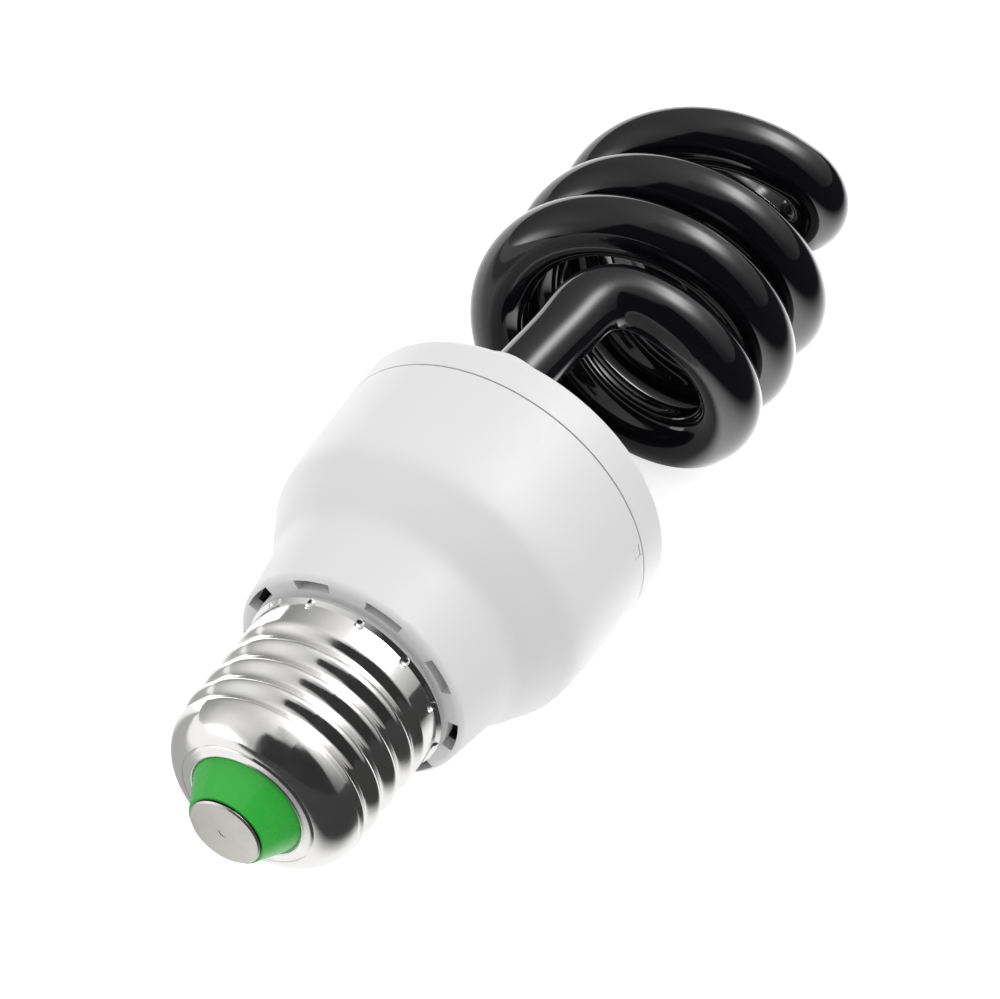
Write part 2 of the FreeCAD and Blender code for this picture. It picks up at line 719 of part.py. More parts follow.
def make_axial_part(radius, length, setback, angle, surface_z, side, turn):
    """Round part lying on the board: side is 1 above it and -1 below it."""
    centre = polar(setback, angle, surface_z + side * radius)
    reach = polar(length / 2, angle + turn, 0)
    body = cylinder(radius, centre - reach, centre + reach)
    lead_reach = polar(length / 2 + 3 * LEAD_R, angle + turn, 0)
    for end in (-1, 1):
        tip = centre + lead_reach * end
        body = body.fuse(cylinder(LEAD_R, centre + reach * end, tip))
        body = body.fuse(Part.makeSphere(LEAD_R, tip))
        body = body.fuse(cylinder(LEAD_R, tip, vector(tip.x, tip.y, surface_z)))
    return body.removeSplitter()


def make_film_capacitor(angle):
    length, thickness, height = FILM_SIZE
    centre = polar(FILM_SETBACK, angle, LEDGE_Z - height / 2)
    return block((thickness, length, height), centre, angle)


def make_input_inductor():
    low = polar(INDUCTOR_SETBACK, UP_ANGLE - 48, LEDGE_Z - INDUCTOR_HEIGHT)
    return cylinder(INDUCTOR_R, low, vector(low.x, low.y, LEDGE_Z))


def wrap_pin_foot(index):
    """Place of a wrap pin on the board: one each side of each end of the tube."""
    leg = leg_centres(LEDGE_Z + BOARD_THICKNESS)[index // 2]
    angle = math.degrees(math.atan2(leg.y, leg.x))
    side = 1 if index % 2 else -1
    return leg, angle, side


def make_wrap_pin(index):
    leg, angle, side = wrap_pin_foot(index)
    centre = leg + polar(side * PIN_OFFSET, angle + 90, PIN_HEIGHT / 2)
    return block((PIN_SIDE, PIN_SIDE, PIN_HEIGHT), centre, angle)


def make_filament_lead(index):
    leg, angle, side = wrap_pin_foot(index)
    start_z = TUBE_END_Z - PINCH_LENGTH
    pin_top = LEDGE_Z + BOARD_THICKNESS + PIN_HEIGHT
    turn_z = (start_z + LEDGE_Z + BOARD_THICKNESS) / 2
    near = polar(side * FILAMENT_OFFSET, angle + 90, 0)
    far = polar(side * (PIN_OFFSET - PIN_SIDE / 2), angle + 90, 0)
    top = vector(leg.x + near.x, leg.y + near.y, start_z)
    bend = vector(leg.x + near.x, leg.y + near.y, min(turn_z, pin_top - 1))
    end = vector(leg.x + far.x, leg.y + far.y, bend.z)
    return wire_along([top, bend, end], FILAMENT_WIRE_R)


def make_live_lead():
    side_angle = HEAVY_SIDE - 90
    start = vector(0, 0, LIP_Z)
    low = vector(0, 0, COLLAR_END_Z + THREAD_PITCH)
    high = polar(LEAD_WIRE_R * 7, side_angle, NECK_END_Z)
    end = polar(LEAD_WIRE_R * 7, side_angle, LEDGE_Z)
    return wire_along([start, low, high, end], LEAD_WIRE_R)


def make_neutral_lead():
    angle = HEAVY_SIDE + 90
    bend_z = COLLAR_END_Z - LEAD_WIRE_R - LOOSE_GAP
    edges = (bend_z - LEAD_WIRE_R, bend_z, bend_z + LEAD_WIRE_R)
    shell_r = min(thread_radius(angle, z, SHELL_WALL) for z in edges) - SEAT_GAP
    inside_r = ROOT_R - SHELL_WALL - COLLAR_WALL - 2 * LEAD_WIRE_R - LOOSE_GAP
    start = polar(shell_r, angle, bend_z)
    corner = polar(inside_r, angle, bend_z)
    end = polar(inside_r, angle, LEDGE_Z)
    return wire_along([start, corner, end], LEAD_WIRE_R)


def all_nodes():
    """Every sub-part in the lamp's upright frame, by name."""
    nodes = {}
    nodes["centre_contact"] = make_centre_contact()
    nodes["cap_insulator"] = make_cap_insulator()
    nodes["screw_shell"] = make_screw_shell()
    nodes["ballast_housing"] = make_ballast_housing()
    nodes["tube_cover"] = make_tube_cover()
    nodes["spiral_tube"] = make_spiral_tube()
    nodes["tube_cement"] = make_tube_cement()
    nodes["circuit_board"] = make_circuit_board()
    core, bobbin, winding = make_choke()
    nodes["choke_core"] = core
    nodes["choke_bobbin"] = bobbin
    nodes["choke_winding"] = winding
    nodes["smoothing_capacitor"] = make_smoothing_capacitor()
    ring_core, ring_winding = make_drive_ring()
    nodes["drive_ring_core"] = ring_core
    nodes["drive_ring_winding"] = ring_winding
    for index, angle in enumerate((HEAVY_SIDE - 50, HEAVY_SIDE + 50)):
        nodes["switch_transistor_%d" % (index + 1)] = make_transistor(angle)
    for index, angle in enumerate((UP_ANGLE + 22, UP_ANGLE + 7.5, UP_ANGLE - 7.5, UP_ANGLE - 22)):
        diode = make_axial_part(DIODE_R, DIODE_LENGTH, DIODE_SETBACK, angle, LEDGE_Z, -1, 0)
        nodes["rectifier_diode_%d" % (index + 1)] = diode
    nodes["resonant_capacitor"] = make_film_capacitor(UP_ANGLE - 88)
    nodes["coupling_capacitor"] = make_film_capacitor(UP_ANGLE + 48)
    board_top = LEDGE_Z + BOARD_THICKNESS
    for index in range(4):
        setback = RESISTOR_SPACING * (index - 1.5)
        name = "base_resistor_%d" % (index + 1) if index < 2 else "start_resistor_%d" % (index - 1)
        nodes[name] = make_axial_part(RESISTOR_R, RESISTOR_LENGTH, setback, UP_ANGLE + 90, board_top, 1, 90)
    trigger = make_axial_part(DIODE_R, DIODE_LENGTH, TRIGGER_SETBACK, UP_ANGLE + 90, board_top, 1, 90)
    nodes["trigger_diode"] = trigger
    fuse = make_axial_part(FUSE_R, FUSE_LENGTH, FUSE_SETBACK, UP_ANGLE - 90, board_top, 1, 90)
    nodes["fuse_resistor"] = fuse
    nodes["input_inductor"] = make_input_inductor()
    for index in range(4):
        nodes["wrap_pin_%d" % (index + 1)] = make_wrap_pin(index)
        nodes["filament_lead_%d" % (index + 1)] = make_filament_lead(index)
    nodes["live_lead"] = make_live_lead()
    nodes["neutral_lead"] = make_neutral_lead()
    return nodes


def resting_tilt():
    """Angle that the axis slopes down towards the tip when rim and coil both touch the table."""
    strand = coil_path()
    both = strand + [vector(-point.x, -point.y, point.z) for point in strand]
    down = polar(1, UP_ANGLE + 180, 0)
    rim_z = RIM_Z - RIM_ROUND
    slopes = []
    for point in both:
        if point.z > rim_z + 2 * TUBE_R:
            drop = point.x * down.x + point.y * down.y + TUBE_R
            slopes.append(math.degrees(math.atan2(rim_radius() - drop, point.z - rim_z)))
    return min(slopes)


def lying_placement(nodes):
    """Lays the lamp on the table, tip towards +X, its origin below the middle of its box."""
    tilt = resting_tilt()
    roll = FreeCAD.Rotation(UP_THE_AXIS, 180 - UP_ANGLE)
    fall = FreeCAD.Rotation(vector(0, 1, 0), 90 + tilt)
    turn = FreeCAD.Placement(AXIS_POINT, fall.multiply(roll))
    names = ("centre_contact", "screw_shell", "tube_cover", "ballast_housing", "spiral_tube")
    box = FreeCAD.BoundBox()
    for name in names:
        moved = nodes[name].copy()
        moved.Placement = turn.multiply(moved.Placement)
        box.add(moved.optimalBoundingBox(True, False))
    shift = vector(-(box.XMin + box.XMax) / 2, -(box.YMin + box.YMax) / 2, -box.ZMin)
    print("tilt %.2f  box %.2f x %.2f x %.2f mm  shift %s" % (tilt, box.XLength, box.YLength, box.ZLength, shift))
    return FreeCAD.Placement(shift, turn.Rotation)


def main():
    os.makedirs("parts", exist_ok=True)
    nodes = all_nodes()
    placement = lying_placement(nodes)
    for name, shape in nodes.items():
        shape.Placement = placement.multiply(shape.Placement)
        shape.exportStep("parts/%s.step" % name)


main()
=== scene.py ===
import math

import bmesh
import bpy
from mathutils import Matrix, Vector


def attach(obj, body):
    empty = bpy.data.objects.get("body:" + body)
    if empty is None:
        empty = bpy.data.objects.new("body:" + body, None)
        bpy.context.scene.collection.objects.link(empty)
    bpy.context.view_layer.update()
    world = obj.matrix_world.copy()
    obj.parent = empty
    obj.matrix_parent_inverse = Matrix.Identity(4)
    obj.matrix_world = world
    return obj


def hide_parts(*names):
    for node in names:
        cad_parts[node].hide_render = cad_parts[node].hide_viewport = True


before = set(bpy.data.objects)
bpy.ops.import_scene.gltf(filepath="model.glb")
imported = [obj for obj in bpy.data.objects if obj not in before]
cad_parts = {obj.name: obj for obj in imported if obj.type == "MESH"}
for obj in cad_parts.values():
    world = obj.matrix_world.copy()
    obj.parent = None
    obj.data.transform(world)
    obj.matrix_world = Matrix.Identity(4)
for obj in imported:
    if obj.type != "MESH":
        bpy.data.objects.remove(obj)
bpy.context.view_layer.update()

# Black light bulb lying on a white table. Lengths are in metres and angles in degrees.

# How the lamp lies: its axis slopes down towards the tip
AXIS_TILT = 2.412
UP_ANGLE = -24.5
CONTACT_PLACE = Vector((-0.066326, 0.0, 0.025242))

# Contact. A dark line of painted shade is coloured round the foot of its edge, and starts and ends at
# these distances in from its radius and down from its face.
CONTACT_R = 0.00485
FOOT_BAND = (0.00020, 0.00008)
FOOT_DEPTH = (0.00016, 0.00028)

# Turned-in lip of the shell round the insulator, which goes on from its dome
LIP_INNER_R = 0.00752
LIP_OUTER_R = 0.00915
LIP_OUTER_Z = 0.00504
LIP_SLOPE = 13.0
LIP_ROUND = 0.00022
LIP_BACK = 0.00030
LIP_SIDES = 160
FACE_SHARES = (0.35, 0.7, 0.95)
CORNER_STEPS = 6

# Spiral tube, in the lamp's own frame
TUBE_R = 0.0040
LEG_CIRCLE_R = 0.01446
LEG_ANGLE = -28.5
LEG_LEAN = 3.7
TUBE_END_Z = 0.0622
PLATFORM_Z = 0.0687
BEND_START_Z = 0.0825
BEND_LENGTH = 0.0113
SPREAD_BEFORE = 0.00475
SPREAD_LENGTH = 0.0395
HEEL_RISE = 0.0004
HEEL_LENGTH = 0.0050
HEEL_AFTER = 0.0030
COIL_R_LOW = 0.01735
COIL_R_HIGH = 0.0153
TAPER_POWER = 1.5
COIL_END_ANGLE = 554.7
FULL_LEAD_ANGLE = 610.0
LEAD_LOW = 10.75
LEAD_HIGH = 19.15
LEAD_GROWS_FROM = 0.51
PATH_STEP = 0.0005
TUBE_SIDES = 48

# Floor
FLOOR_HALF = 3.0

# Grain: the part of the noise that roughness follows, and how far plain colours vary
NOISE_SPAN = (0.3, 0.7)
NOISE_WIDE = (0.3, 0.75)
GRAIN_DARK = 0.8
GRAIN_LIGHT = 1.15
GRAIN_SMOOTH = 0.85

# Camera
CAMERA_PLACE = Vector((-0.290649, -0.16706, 0.400068))
CAMERA_TARGET = Vector((-0.004999, -0.001555, 0.024553))
CAMERA_LENS = 144.0

# Studio: direction of each soft light as azimuth and elevation, its radiance and its spread.
# Reflections see the tent, the lights and the dark side, and matt surfaces see the fill.
SOFT_LIGHTS = (
    (-44.0, 51.0, 9.0, 9.0),
    (-22.0, 40.0, 7.5, 8.0),
    (-45.0, 58.0, 0.9, 30.0),
    (-12.0, 14.0, 0.6, 12.0),
    (138.0, -2.0, 5.8, 9.0),
    (125.0, 22.0, 0.5, 22.0),
)
FILL_RADIANCE = 0.83
FILL_SHARE = 0.30
FILL_DARK = (0.0, 0.72)
FILL_DARK_ENDS = (0.35, 0.95)
TENT_LOW = 0.26
TENT_HIGH = 0.46
TENT_TOP = 0.85
DARK_RADIANCE = 0.03
DARK_AZIMUTH = -149.0
DARK_HALF_WIDTH = 47.0
DARK_SOFTNESS = 4.0
DARK_TOP = (0.78, 0.92)
FADE_AZIMUTH = -125.0
FADE_HALF_WIDTHS = (67.0, 25.0)
FADE_SHARE = 0.7

# Table as the glass and metal mirror it: a painted glow about the lamp in place of light on it, dark on
# the camera's side.
# Each pair gives where a change starts and ends: along the lamp, aside from it, or along TIP_WAY.
TABLE_NEAR = (-0.060, -0.024)
TIP_WAY = (0.49, 0.87, 0)
TABLE_TIP = (-0.060, -0.040)
TABLE_LOW = 1.0
TABLE_HIGH = 2.7
LEVEL_ALONG = (-0.030, 0.020)
TABLE_DARK = 0.02
TABLE_SEEN = 0.7
TABLE_WHITE = (0.80, 0.80, 0.80, 1)
TABLE_PAINTED_SHADE = (0.08, 0.08, 0.08, 1)
TABLE_MIRRORED = (0.03, 0.03, 0.03, 1)
# Painted bounce light: near the lamp the table glows for rays from matt surfaces
TABLE_BOUNCE = 0.45
BOUNCE_ALONG = (0.085, 0.105)
BOUNCE_ASIDE = (0.045, 0.065)

# Shade painted on the table, which no light casts: beside the cap and the coil and under the
# coil, for reflections only. The hidden patch under the coil's far end is also dark to the
# eye, so that no white floor shows through the gap between the turns.
SHADE_MIDDLE = -0.067
SHADE_HALF = (0.016, 0.030)
SHADE_ASIDE = (0.0, 0.018)
SHADE_CAP = 0.6
SHADE_COIL = 0.35
SHADE_COIL_ALONG = (-0.020, 0.020)
SHADE_UNDER = 0.92
UNDER_ALONG = (-0.010, 0.008)
UNDER_ASIDE = (-0.018, -0.008)
SHADE_TIP = (0.065, 0.075)
SHADE_FAR = (0.019, 0.027)
HIDDEN_ALONG = (0.046, 0.057)
HIDDEN_ASIDE = (0.005, 0.013)


def smooth(value):
    limited = min(max(value, 0.0), 1.0)
    return limited * limited * (3.0 - 2.0 * limited)


def lamp_matrix():
    """From the lamp's own frame, Z from contact to tip, to the row frame."""
    fall = Matrix.Rotation(math.radians(90 + AXIS_TILT), 4, "Y")
    roll = Matrix.Rotation(math.radians(180 - UP_ANGLE), 4, "Z")
    return Matrix.Translation(CONTACT_PLACE) @ fall @ roll


def direction(azimuth, elevation):
    flat = math.cos(math.radians(elevation))
    return Vector((
        flat * math.cos(math.radians(azimuth)),
        flat * math.sin(math.radians(azimuth)),
        math.sin(math.radians(elevation)),
    ))


# Materials


class Nodes:
    """Short way to add and join nodes in a tree."""

    def __init__(self, tree):
        self.tree = tree
        tree.nodes.clear()

    def add(self, kind, **inputs):
        node = self.tree.nodes.new(kind)
        for name, value in inputs.items():
            self.put(node, name.replace("_", " "), value)
        return node

    def put(self, node, name, value):
        socket = node.inputs[int(name)] if name.isdigit() else node.inputs[name]
        if isinstance(value, bpy.types.NodeSocket):
            self.tree.links.new(value, socket)
        else:
            socket.default_value = value

    def math(self, operation, *values):
        node = self.tree.nodes.new("ShaderNodeMath")
        node.operation = operation
        for index, value in enumerate(values):
            self.put(node, str(index), value)
        return node.outputs[0]

    def vector(self, operation, first, second, output=0):
        node = self.tree.nodes.new("ShaderNodeVectorMath")
        node.operation = operation
        self.put(node, "0", first)
        self.put(node, "1", second)
        return node.outputs[output]

    def between(self, value, low, high, from_value=0.0, to_value=1.0):
        node = self.tree.nodes.new("ShaderNodeMapRange")
        node.interpolation_type = "SMOOTHSTEP"
        self.put(node, "Value", value)
        self.put(node, "From Min", low)
        self.put(node, "From Max", high)
        self.put(node, "To Min", from_value)
        self.put(node, "To Max", to_value)
        return node.outputs[0]

    def mix(self, share, first, second):
        node = self.tree.nodes.new("ShaderNodeMix")
        node.data_type = "RGBA"
        self.put(node, "0", share)
        self.put(node, "6", first)
        self.put(node, "7", second)
        return node.outputs[2]

    def noise(self, scale, detail=2.0):
        coordinates = self.tree.nodes.new("ShaderNodeTexCoord").outputs["Object"]
        node = self.tree.nodes.new("ShaderNodeTexNoise")
        self.put(node, "Vector", coordinates)
        self.put(node, "Scale", scale)
        self.put(node, "Detail", detail)
        return node.outputs[0]

    def bump(self, height, distance):
        node = self.tree.nodes.new("ShaderNodeBump")
        self.put(node, "Height", height)
        self.put(node, "Distance", distance)
        self.put(node, "Strength", 1.0)
        return node.outputs[0]


def new_material(name):
    material = bpy.data.materials.new(name)
    material.use_nodes = True
    nodes = Nodes(material.node_tree)
    shader = nodes.add("ShaderNodeBsdfPrincipled")
    output = nodes.add("ShaderNodeOutputMaterial")
    nodes.put(output, "Surface", shader.outputs[0])
    return material, nodes, shader


def black_glass():
    material, nodes, shader = new_material("black_glass")
    tint = nodes.mix(nodes.noise(60.0), (0.0030, 0.0026, 0.0040, 1), (0.0050, 0.0046, 0.0060, 1))
    nodes.put(shader, "Base Color", tint)
    nodes.put(shader, "IOR", 1.5)
    rough = nodes.between(nodes.noise(180.0, 3.0), *NOISE_WIDE, 0.035, 0.075)
    nodes.put(shader, "Roughness", rough)
    waves = nodes.bump(nodes.noise(90.0, 1.0), 0.00006)
    nodes.put(shader, "Normal", waves)
    return material


def opal_plastic():
    material, nodes, shader = new_material("opal_plastic")
    tint = nodes.mix(nodes.noise(40.0), (0.76, 0.76, 0.763, 1), (0.79, 0.79, 0.793, 1))
    nodes.put(shader, "Base Color", tint)
    nodes.put(shader, "Roughness", nodes.between(nodes.noise(900.0, 4.0), *NOISE_SPAN, 0.38, 0.46))
    nodes.put(shader, "Subsurface Weight", 0.12)
    nodes.put(shader, "Subsurface Radius", (0.002, 0.002, 0.002))
    nodes.put(shader, "Normal", nodes.bump(nodes.noise(2600.0, 3.0), 0.000004))
    return material


def nickel_plate():
    material, nodes, shader = new_material("nickel_plate")
    nodes.put(shader, "Metallic", 1.0)
    stains = nodes.mix(nodes.noise(160.0, 4.0), (0.80, 0.79, 0.78, 1), (0.88, 0.875, 0.87, 1))
    nodes.put(shader, "Base Color", stains)
    nodes.put(shader, "Roughness", nodes.between(nodes.noise(420.0, 5.0), *NOISE_WIDE, 0.09, 0.17))
    nodes.put(shader, "Normal", nodes.bump(nodes.noise(300.0, 3.0), 0.00003))
    return material


def green_insulator():
    material, nodes, shader = new_material("green_insulator")
    tint = nodes.mix(nodes.noise(220.0, 3.0), (0.034, 0.46, 0.048, 1), (0.042, 0.51, 0.060, 1))
    nodes.put(shader, "Base Color", tint)
    nodes.put(shader, "Roughness", nodes.between(nodes.noise(700.0, 3.0), *NOISE_SPAN, 0.20, 0.30))
    nodes.put(shader, "Normal", nodes.bump(nodes.noise(500.0, 3.0), 0.00001))
    return material


def contact_metal():
    material, nodes, shader = new_material("contact_metal")
    nodes.put(shader, "Metallic", 1.0)
    stains = nodes.mix(nodes.noise(300.0, 5.0), (0.68, 0.665, 0.625, 1), (0.76, 0.745, 0.705, 1))
    place = nodes.add("ShaderNodeNewGeometry").outputs["Position"]
    from_contact = nodes.vector("SUBTRACT", place, CONTACT_PLACE)
    from_axis = nodes.vector("CROSS_PRODUCT", from_contact, direction(0.0, -AXIS_TILT))
    radius = nodes.vector("LENGTH", from_axis, (0, 0, 0), 1)
    # Painted shade: a dark line round the foot of the contact's edge
    painted_foot_shade = nodes.between(radius, CONTACT_R - FOOT_BAND[0], CONTACT_R - FOOT_BAND[1])
    depth = nodes.vector("DOT_PRODUCT", from_contact, direction(0.0, -AXIS_TILT), 1)
    painted_foot_shade = nodes.math("MULTIPLY", painted_foot_shade, nodes.between(depth, *FOOT_DEPTH))
    nodes.put(shader, "Base Color", nodes.mix(painted_foot_shade, stains, (0.02, 0.02, 0.02, 1)))
    nodes.put(shader, "Roughness", nodes.between(nodes.noise(900.0, 5.0), *NOISE_WIDE, 0.28, 0.45))
    nodes.put(shader, "Normal", nodes.bump(nodes.noise(380.0, 3.0), 0.00002))
    return material


def plain_part(name, colour, roughness, metallic=0.0):
    """Material for the parts inside: a colour with a little grain."""
    material, nodes, shader = new_material(name)
    dark = [channel * GRAIN_DARK for channel in colour] + [1]
    light = [min(channel * GRAIN_LIGHT, 1.0) for channel in colour] + [1]
    nodes.put(shader, "Base Color", nodes.mix(nodes.noise(400.0, 4.0), dark, light))
    nodes.put(shader, "Metallic", metallic)
    rough = nodes.between(nodes.noise(900.0, 3.0), *NOISE_SPAN, roughness * GRAIN_SMOOTH, roughness)
    nodes.put(shader, "Roughness", rough)
    nodes.put(shader, "Normal", nodes.bump(nodes.noise(1500.0, 3.0), 0.00001))
    return material


def table_white():
    """White table: pure white to the eye but for its hidden patch of painted shade, and a painted glow
    about the lamp in reflections.
    """
    material, nodes, shader = new_material("table_white")
    path = nodes.add("ShaderNodeLightPath")
    place = nodes.add("ShaderNodeNewGeometry").outputs["Position"]
    along = nodes.vector("DOT_PRODUCT", place, (1, 0, 0), 1)
    aside = nodes.vector("DOT_PRODUCT", place, (0, 1, 0), 1)
    slanted = nodes.vector("DOT_PRODUCT", place, TIP_WAY, 1)
    # Painted light: in reflections the table glows about the lamp, stronger towards the coil
    near = nodes.between(aside, *TABLE_NEAR)
    lit = nodes.math("MULTIPLY", near, nodes.between(slanted, *TABLE_TIP))
    level = nodes.between(along, *LEVEL_ALONG, TABLE_LOW, TABLE_HIGH)
    # Painted shade for reflections: beside the cap, beside the coil and under the coil
    from_middle = nodes.math("ABSOLUTE", nodes.math("SUBTRACT", along, SHADE_MIDDLE))
    beside_cap = nodes.between(from_middle, *SHADE_HALF, SHADE_CAP, 0.0)
    beside_coil = nodes.between(along, *SHADE_COIL_ALONG, 0.0, SHADE_COIL)
    far = nodes.between(aside, *SHADE_ASIDE)
    shade = nodes.math("MULTIPLY", far, nodes.math("ADD", beside_cap, beside_coil))
    beyond = nodes.between(along, *SHADE_TIP, 1.0, 0.0)
    beyond = nodes.math("MULTIPLY", beyond, nodes.between(aside, *SHADE_FAR, 1.0, 0.0))
    # Painted shade: a dark patch under the coil's far end, which the eye sees too
    hidden = nodes.math("MULTIPLY", beyond, nodes.between(along, *HIDDEN_ALONG))
    hidden = nodes.math("MULTIPLY", hidden, nodes.between(aside, *HIDDEN_ASIDE))
    under = nodes.math("MULTIPLY", beyond, nodes.between(along, *UNDER_ALONG))
    under = nodes.math("MULTIPLY", under, nodes.between(aside, *UNDER_ASIDE, 0.0, SHADE_UNDER))
    clear = nodes.math("SUBTRACT", 1.0, shade)
    clear = nodes.math("MULTIPLY", clear, nodes.math("SUBTRACT", 1.0, under))
    glow = nodes.math("MULTIPLY", nodes.math("MULTIPLY", lit, level), clear)
    # Painted bounce light: the table glows near the lamp for rays from matt surfaces
    close = nodes.between(nodes.math("ABSOLUTE", aside), *BOUNCE_ASIDE, TABLE_BOUNCE, 0.0)
    within = nodes.between(nodes.math("ABSOLUTE", along), *BOUNCE_ALONG, 1.0, 0.0)
    close = nodes.math("MULTIPLY", close, within)
    gloss = path.outputs["Is Glossy Ray"]
    camera = path.outputs["Is Camera Ray"]
    seen = nodes.math("MULTIPLY", camera, nodes.between(hidden, 0.0, 1.0, TABLE_SEEN, 0.0))
    mirrored = nodes.math("MULTIPLY", gloss, nodes.math("ADD", glow, TABLE_DARK))
    neither = nodes.math("SUBTRACT", 1.0, nodes.math("ADD", gloss, camera))
    painted_bounce = nodes.math("MULTIPLY", neither, close)
    shadowed = nodes.mix(hidden, TABLE_WHITE, TABLE_PAINTED_SHADE)
    nodes.put(shader, "Base Color", nodes.mix(gloss, shadowed, TABLE_MIRRORED))
    nodes.put(shader, "Roughness", 0.9)
    nodes.put(shader, "Specular IOR Level", 0.0)
    nodes.put(shader, "Emission Color", (1, 1, 1, 1))
    nodes.put(shader, "Emission Strength", nodes.math("ADD", nodes.math("ADD", seen, mirrored), painted_bounce))
    material.cycles.emission_sampling = "NONE"
    return material


# Pieces


def add_object(name, mesh, material):
    data = bpy.data.meshes.new(name)
    mesh.to_mesh(data)
    mesh.free()
    made = bpy.data.objects.new(name, data)
    bpy.context.scene.collection.objects.link(made)
    data.materials.append(material)
    return made


def coil_path():
    """Centre line of one strand, from its end in the cover to the middle of the crossing."""
    points = []
    z = TUBE_END_Z
    angle = math.radians(LEG_ANGLE)
    travelled = 0.0
    bend_start = BEND_START_Z - TUBE_END_Z
    end_angle = math.radians(COIL_END_ANGLE)
    radius = LEG_CIRCLE_R
    lead = 0.0
    while angle < end_angle:
        points.append(Vector((radius * math.cos(angle), radius * math.sin(angle), z)))
        bent = smooth((travelled - bend_start) / BEND_LENGTH)
        spread = smooth((travelled - bend_start + SPREAD_BEFORE) / SPREAD_LENGTH)
        share = min(max(angle / math.radians(FULL_LEAD_ANGLE), 0.0), 1.0)
        growth = smooth((share - LEAD_GROWS_FROM) / (1 - LEAD_GROWS_FROM))
        lean = LEG_LEAN * smooth((z - PLATFORM_Z) / TUBE_R)
        lead = LEAD_LOW + (LEAD_HIGH - LEAD_LOW) * growth
        climb = math.radians((90 - lean) * (1 - bent) + lead * bent)
        coil_r = COIL_R_LOW + (COIL_R_HIGH - COIL_R_LOW) * share ** TAPER_POWER
        radius = LEG_CIRCLE_R * (1 - spread) + coil_r * spread
        z += PATH_STEP * math.sin(climb)
        angle += PATH_STEP * math.cos(climb) / radius
        travelled += PATH_STEP
    return points + crossing_path(radius, z, lead)


def crossing_path(radius, z, lead):
    """Half circle from the coil in to the axis, its climb easing off to level."""
    half = radius / 2
    length = math.pi * half
    rise = math.tan(math.radians(lead)) * length
    end_angle = math.radians(COIL_END_ANGLE)
    centre = Vector((half * math.cos(end_angle), half * math.sin(end_angle), 0))
    count = int(length / PATH_STEP)
    points = []
    for index in range(1, count + 1):
        share = index / count
        turn = end_angle + math.pi * share
        height = z + rise * (share - share * share / 2)
        points.append(centre + Vector((half * math.cos(turn), half * math.sin(turn), height)))
    return points


def skin_radius(travelled, length):
    """Radius of the tube along its length: a little fuller at the heel, where each leg bends over."""
    heel = BEND_START_Z - TUBE_END_Z + HEEL_AFTER
    nearest = min(abs(travelled - heel), abs(length - travelled - heel))
    return TUBE_R + HEEL_RISE * math.exp(-(nearest / HEEL_LENGTH) ** 2)


def make_tube(material):
    """Glass tube along both strands, as rings carried along without twisting."""
    first = coil_path()
    second = [Vector((-point.x, -point.y, point.z)) for point in first]
    path = first + second[-2::-1]
    place = lamp_matrix()
    mesh = bmesh.new()
    normal = Vector((1, 0, 0))
    rings = []
    last = len(path) - 1
    for index in range(0, last + 1, 2):
        tangent = (path[min(index + 2, last)] - path[max(index - 2, 0)]).normalized()
        normal = (normal - tangent * normal.dot(tangent)).normalized()
        across = tangent.cross(normal)
        ring = []
        radius = skin_radius(index * PATH_STEP, last * PATH_STEP)
        for side in range(TUBE_SIDES):
            turn = 2 * math.pi * side / TUBE_SIDES
            offset = normal * (radius * math.cos(turn)) + across * (radius * math.sin(turn))
            ring.append(mesh.verts.new(place @ (path[index] + offset)))
        rings.append(ring)
    for low, high in zip(rings, rings[1:]):
        for side in range(TUBE_SIDES):
            following = (side + 1) % TUBE_SIDES
            mesh.faces.new((low[side], low[following], high[following], high[side]))
    mesh.faces.new(rings[0][::-1])
    mesh.faces.new(rings[-1])
    bmesh.ops.recalc_face_normals(mesh, faces=mesh.faces)
    for face in mesh.faces:
        face.smooth = len(face.verts) == 4
    tube = add_object("glass_tube", mesh, material)
    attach(tube, "root")
    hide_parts("spiral_tube")


def lip_profile():
    """Radius and height along the lip's section: sloping face, round inner edge, plain back."""
    slope = math.radians(LIP_SLOPE)
    edge_r = LIP_INNER_R + LIP_ROUND
    edge_z = LIP_OUTER_Z - (LIP_OUTER_R - edge_r) * math.tan(slope) + LIP_ROUND
    points = [(LIP_OUTER_R, LIP_OUTER_Z + LIP_BACK), (LIP_OUTER_R, LIP_OUTER_Z)]
    for share in FACE_SHARES:
        radius = LIP_OUTER_R + (edge_r - LIP_OUTER_R) * share
        points.append((radius, LIP_OUTER_Z - (LIP_OUTER_R - radius) * math.tan(slope)))
    for step in range(CORNER_STEPS + 1):
        turn = -math.pi / 2 + slope - (math.pi / 2 + slope) * step / CORNER_STEPS
        points.append((edge_r + LIP_ROUND * math.cos(turn), edge_z + LIP_ROUND * math.sin(turn)))
    points.append((LIP_INNER_R, LIP_OUTER_Z + LIP_BACK))
    return points


def make_lip(material):
    """Turned-in lip of the screw shell, as a ring about the lamp's axis."""
    place = lamp_matrix()
    profile = lip_profile()
    mesh = bmesh.new()
    rings = []
    for index in range(LIP_SIDES):
        turn = 2 * math.pi * index / LIP_SIDES
        ring = []
        for radius, height in profile:
            point = Vector((radius * math.cos(turn), radius * math.sin(turn), height))
            ring.append(mesh.verts.new(place @ point))
        rings.append(ring)
    for index in range(LIP_SIDES):
        low, high = rings[index], rings[(index + 1) % LIP_SIDES]
        for side in range(len(profile)):
            following = (side + 1) % len(profile)
            face = mesh.faces.new((low[side], high[side], high[following], low[following]))
            face.smooth = True
    bmesh.ops.recalc_face_normals(mesh, faces=mesh.faces)
    lip = add_object("shell_lip", mesh, material)
    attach(lip, "root")


def make_floor():
    mesh = bmesh.new()
    half = FLOOR_HALF
    corners = [(-half, -half, 0), (half, -half, 0), (half, half, 0), (-half, half, 0)]
    mesh.faces.new([mesh.verts.new(corner) for corner in corners])
    floor = add_object("floor", mesh, table_white())


